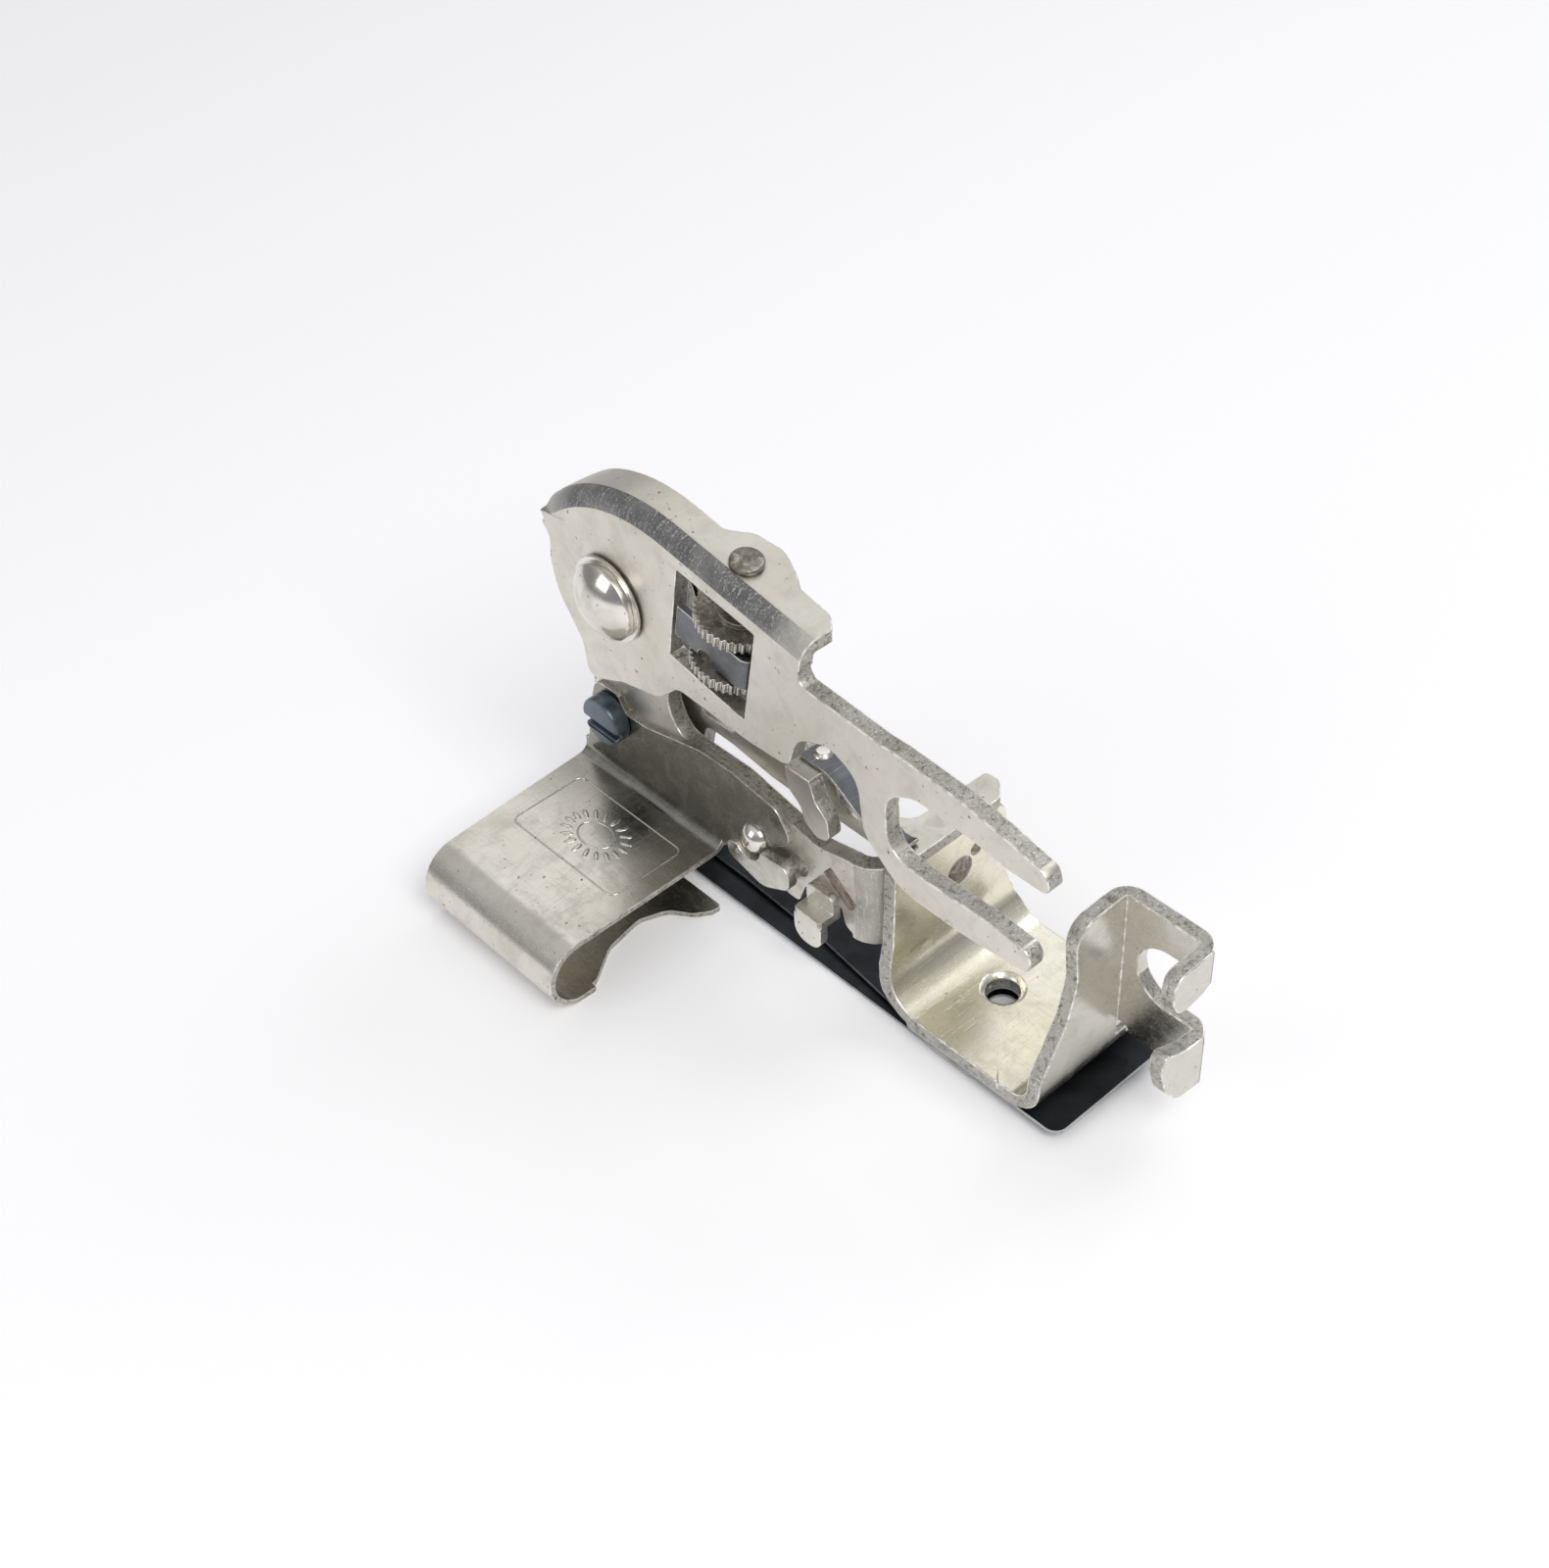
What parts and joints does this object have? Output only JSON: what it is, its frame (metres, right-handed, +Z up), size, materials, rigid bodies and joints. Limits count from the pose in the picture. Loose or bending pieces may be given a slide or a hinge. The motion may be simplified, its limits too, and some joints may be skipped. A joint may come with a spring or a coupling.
{
  "type": "sewing machine ruffler attachment",
  "caption": "Low-shank sewing machine ruffler with a presser foot, a cloth guide, blued ruffling and separator blades, and a pivoting needle-clamp fork lever with a knurled stroke nut",
  "frame": {"origin": "on the needle's axis at bed level, the underside of the separator blade, which the attachment rests on", "axes": "+X the operator's right, +Y to the back of the machine, +Z up along the needle"},
  "size_m": [0.0321, 0.0582, 0.0373],
  "materials": {
    "frame_plate": "worn nickel plate, sheared edges",
    "presser_foot": "bright nickel plate, scratched",
    "sole_plate": "nickel plate",
    "cloth_guide": "polished nickel plate, fine scratches",
    "guide_screw": "blued steel",
    "guide_rivet": "polished nickel plate",
    "foot_rivet_large": "darkened steel",
    "foot_rivet_small": "darkened steel",
    "staked_tenon": "staked, plating worn to brown",
    "stop_leaf": "nickel plate",
    "leaf_pin": "nickel plate",
    "hem_lug": "nickel plate",
    "separator_blade": "blued spring steel",
    "separator_rivet_front": "nickel plate",
    "separator_rivet_rear": "nickel plate",
    "pivot_stud": "polished nickel plate",
    "stud_washer": "nickel plate",
    "spacer_washer": "nickel plate",
    "inner_washer": "nickel plate",
    "fork_lever": "satin nickel plate, sheared edges",
    "regulating_screw": "bare steel thread",
    "stop_block": "grey steel",
    "regulating_nut": "knurled nickel plate",
    "blade_carrier": "nickel plate, sheared edges",
    "return_spring": "blued spring steel",
    "spring_rivet": "nickel plate",
    "ruffling_blade": "blued spring steel",
    "blade_rivet": "nickel plate"
  },
  "bodies": {
    "frame": {"frame_plate": "frame_plate", "presser_foot": "presser_foot", "sole_plate": "sole_plate", "cloth_guide": "cloth_guide", "guide_screw": "guide_screw", "guide_rivet": "guide_rivet", "foot_rivet_large": "foot_rivet_large", "foot_rivet_small": "foot_rivet_small", "staked_tenon": "staked_tenon", "stop_leaf": "stop_leaf", "leaf_pin": "leaf_pin", "hem_lug": "hem_lug", "separator_blade": "separator_blade", "separator_rivet_front": "separator_rivet_front", "separator_rivet_rear": "separator_rivet_rear", "pivot_stud": "pivot_stud", "stud_washer": "stud_washer", "spacer_washer": "spacer_washer", "inner_washer": "inner_washer"},
    "lever": {"fork_lever": "fork_lever", "regulating_screw": "regulating_screw"},
    "block": {"stop_block": "stop_block"},
    "nut": {"regulating_nut": "regulating_nut"},
    "carrier": {"blade_carrier": "blade_carrier", "return_spring": "return_spring", "spring_rivet": "spring_rivet"},
    "blade": {"ruffling_blade": "ruffling_blade", "blade_rivet": "blade_rivet"}
  },
  "joints": [
    {"name": "lever_swing", "type": "hinge", "parent": "frame", "child": "lever", "pos_m": [0.0082, -0.0322, 0.0276], "axis": [1, 0, 0], "range_deg": [0, 22]},
    {"name": "carrier_swing", "type": "hinge", "parent": "frame", "child": "carrier", "pos_m": [0.0039, -0.0322, 0.0276], "axis": [1, 0, 0], "range_deg": [0, 6]},
    {"name": "blade_slide", "type": "slide", "parent": "frame", "child": "blade", "axis": [0, 1, 0], "range_m": [0, 0.0029]},
    {"name": "block_slide", "type": "slide", "parent": "lever", "child": "block", "axis": [0, 0.1908, 0.9816], "range_m": [-0.00031, 0.00155]},
    {"name": "nut_turn", "type": "hinge", "parent": "block", "child": "nut", "pos_m": [0.0063, -0.01932, 0.03621], "axis": [0, 0.1908, 0.9816], "range_deg": [-180.5, 900.5]}
  ],
  "couplings": [
    {"joint": "carrier_swing", "follows": "lever_swing", "ratio": 0.27},
    {"joint": "blade_slide", "follows": "lever_swing", "m_per_rad": 0.0073},
    {"joint": "nut_turn", "follows": "block_slide", "rad_per_m": 10134}
  ]
}
